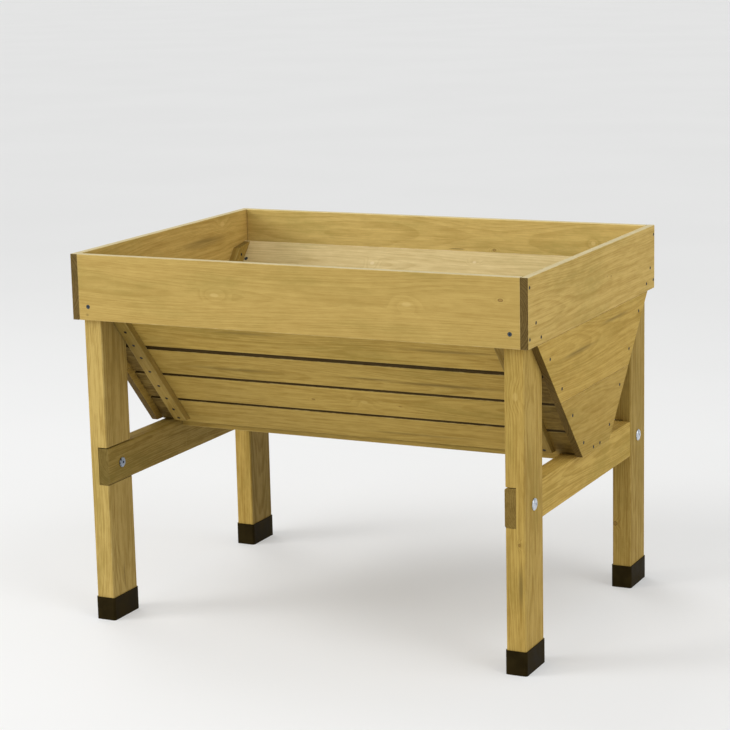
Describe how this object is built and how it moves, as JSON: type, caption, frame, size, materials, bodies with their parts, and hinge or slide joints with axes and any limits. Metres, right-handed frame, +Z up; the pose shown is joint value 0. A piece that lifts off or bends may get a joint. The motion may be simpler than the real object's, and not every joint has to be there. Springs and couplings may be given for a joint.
{
  "type": "raised planter",
  "caption": "Raised wooden garden planter: a V-shaped slatted trough under an open board frame, on capped legs joined in pairs by bolted end rails.",
  "frame": {"origin": "on the ground under the middle of the planter", "axes": "+X along the long side towards the right end, +Y from the front to the rear, +Z up"},
  "size_m": [1.03, 0.756, 0.802],
  "materials": {
    "frame_timber": "planed softwood, pressure treated, matt",
    "leg_timber": "planed softwood, pressure treated, matt",
    "trough_timber": "planed softwood, pressure treated, matt, darker olive streaks",
    "foot_cap_plastic": "moulded, dark brown, satin",
    "zinc_steel": "bright zinc plated",
    "black_steel": "black coated"
  },
  "bodies": {
    "root": {"batten_front_left": "trough_timber", "batten_front_right": "trough_timber", "batten_rear_left": "trough_timber", "batten_rear_right": "trough_timber", "bolt_front_left": "zinc_steel", "bolt_front_right": "zinc_steel", "bolt_rear_left": "zinc_steel", "bolt_rear_right": "zinc_steel", "corner_cleat_front_left": "trough_timber", "corner_cleat_front_right": "trough_timber", "corner_cleat_rear_left": "trough_timber", "corner_cleat_rear_right": "trough_timber", "end_panel_lower_left": "frame_timber", "end_panel_lower_right": "frame_timber", "end_panel_upper_left": "frame_timber", "end_panel_upper_right": "frame_timber", "end_rail_left": "leg_timber", "end_rail_right": "leg_timber", "floor_board": "trough_timber", "foot_cap_front_left": "foot_cap_plastic", "foot_cap_front_right": "foot_cap_plastic", "foot_cap_rear_left": "foot_cap_plastic", "foot_cap_rear_right": "foot_cap_plastic", "frame_board_front": "frame_timber", "frame_board_left": "frame_timber", "frame_board_rear": "frame_timber", "frame_board_right": "frame_timber", "frame_screw_front_left": "black_steel", "frame_screw_front_right": "black_steel", "frame_screw_rear_left": "black_steel", "frame_screw_rear_right": "black_steel", "keel_board": "trough_timber", "leg_front_left": "leg_timber", "leg_front_right": "leg_timber", "leg_rear_left": "leg_timber", "leg_rear_right": "leg_timber", "leg_screw_front_left": "black_steel", "leg_screw_front_right": "black_steel", "leg_screw_rear_left": "black_steel", "leg_screw_rear_right": "black_steel", "sleeve_nut_front_left": "zinc_steel", "sleeve_nut_front_right": "zinc_steel", "sleeve_nut_rear_left": "zinc_steel", "sleeve_nut_rear_right": "zinc_steel", "slope_board_front_1": "trough_timber", "slope_board_front_2": "trough_timber", "slope_board_front_3": "trough_timber", "slope_board_front_4": "trough_timber", "slope_board_front_5": "trough_timber", "slope_board_rear_1": "trough_timber", "slope_board_rear_2": "trough_timber", "slope_board_rear_3": "trough_timber", "slope_board_rear_4": "trough_timber", "slope_board_rear_5": "trough_timber"}
  },
  "joints": []
}
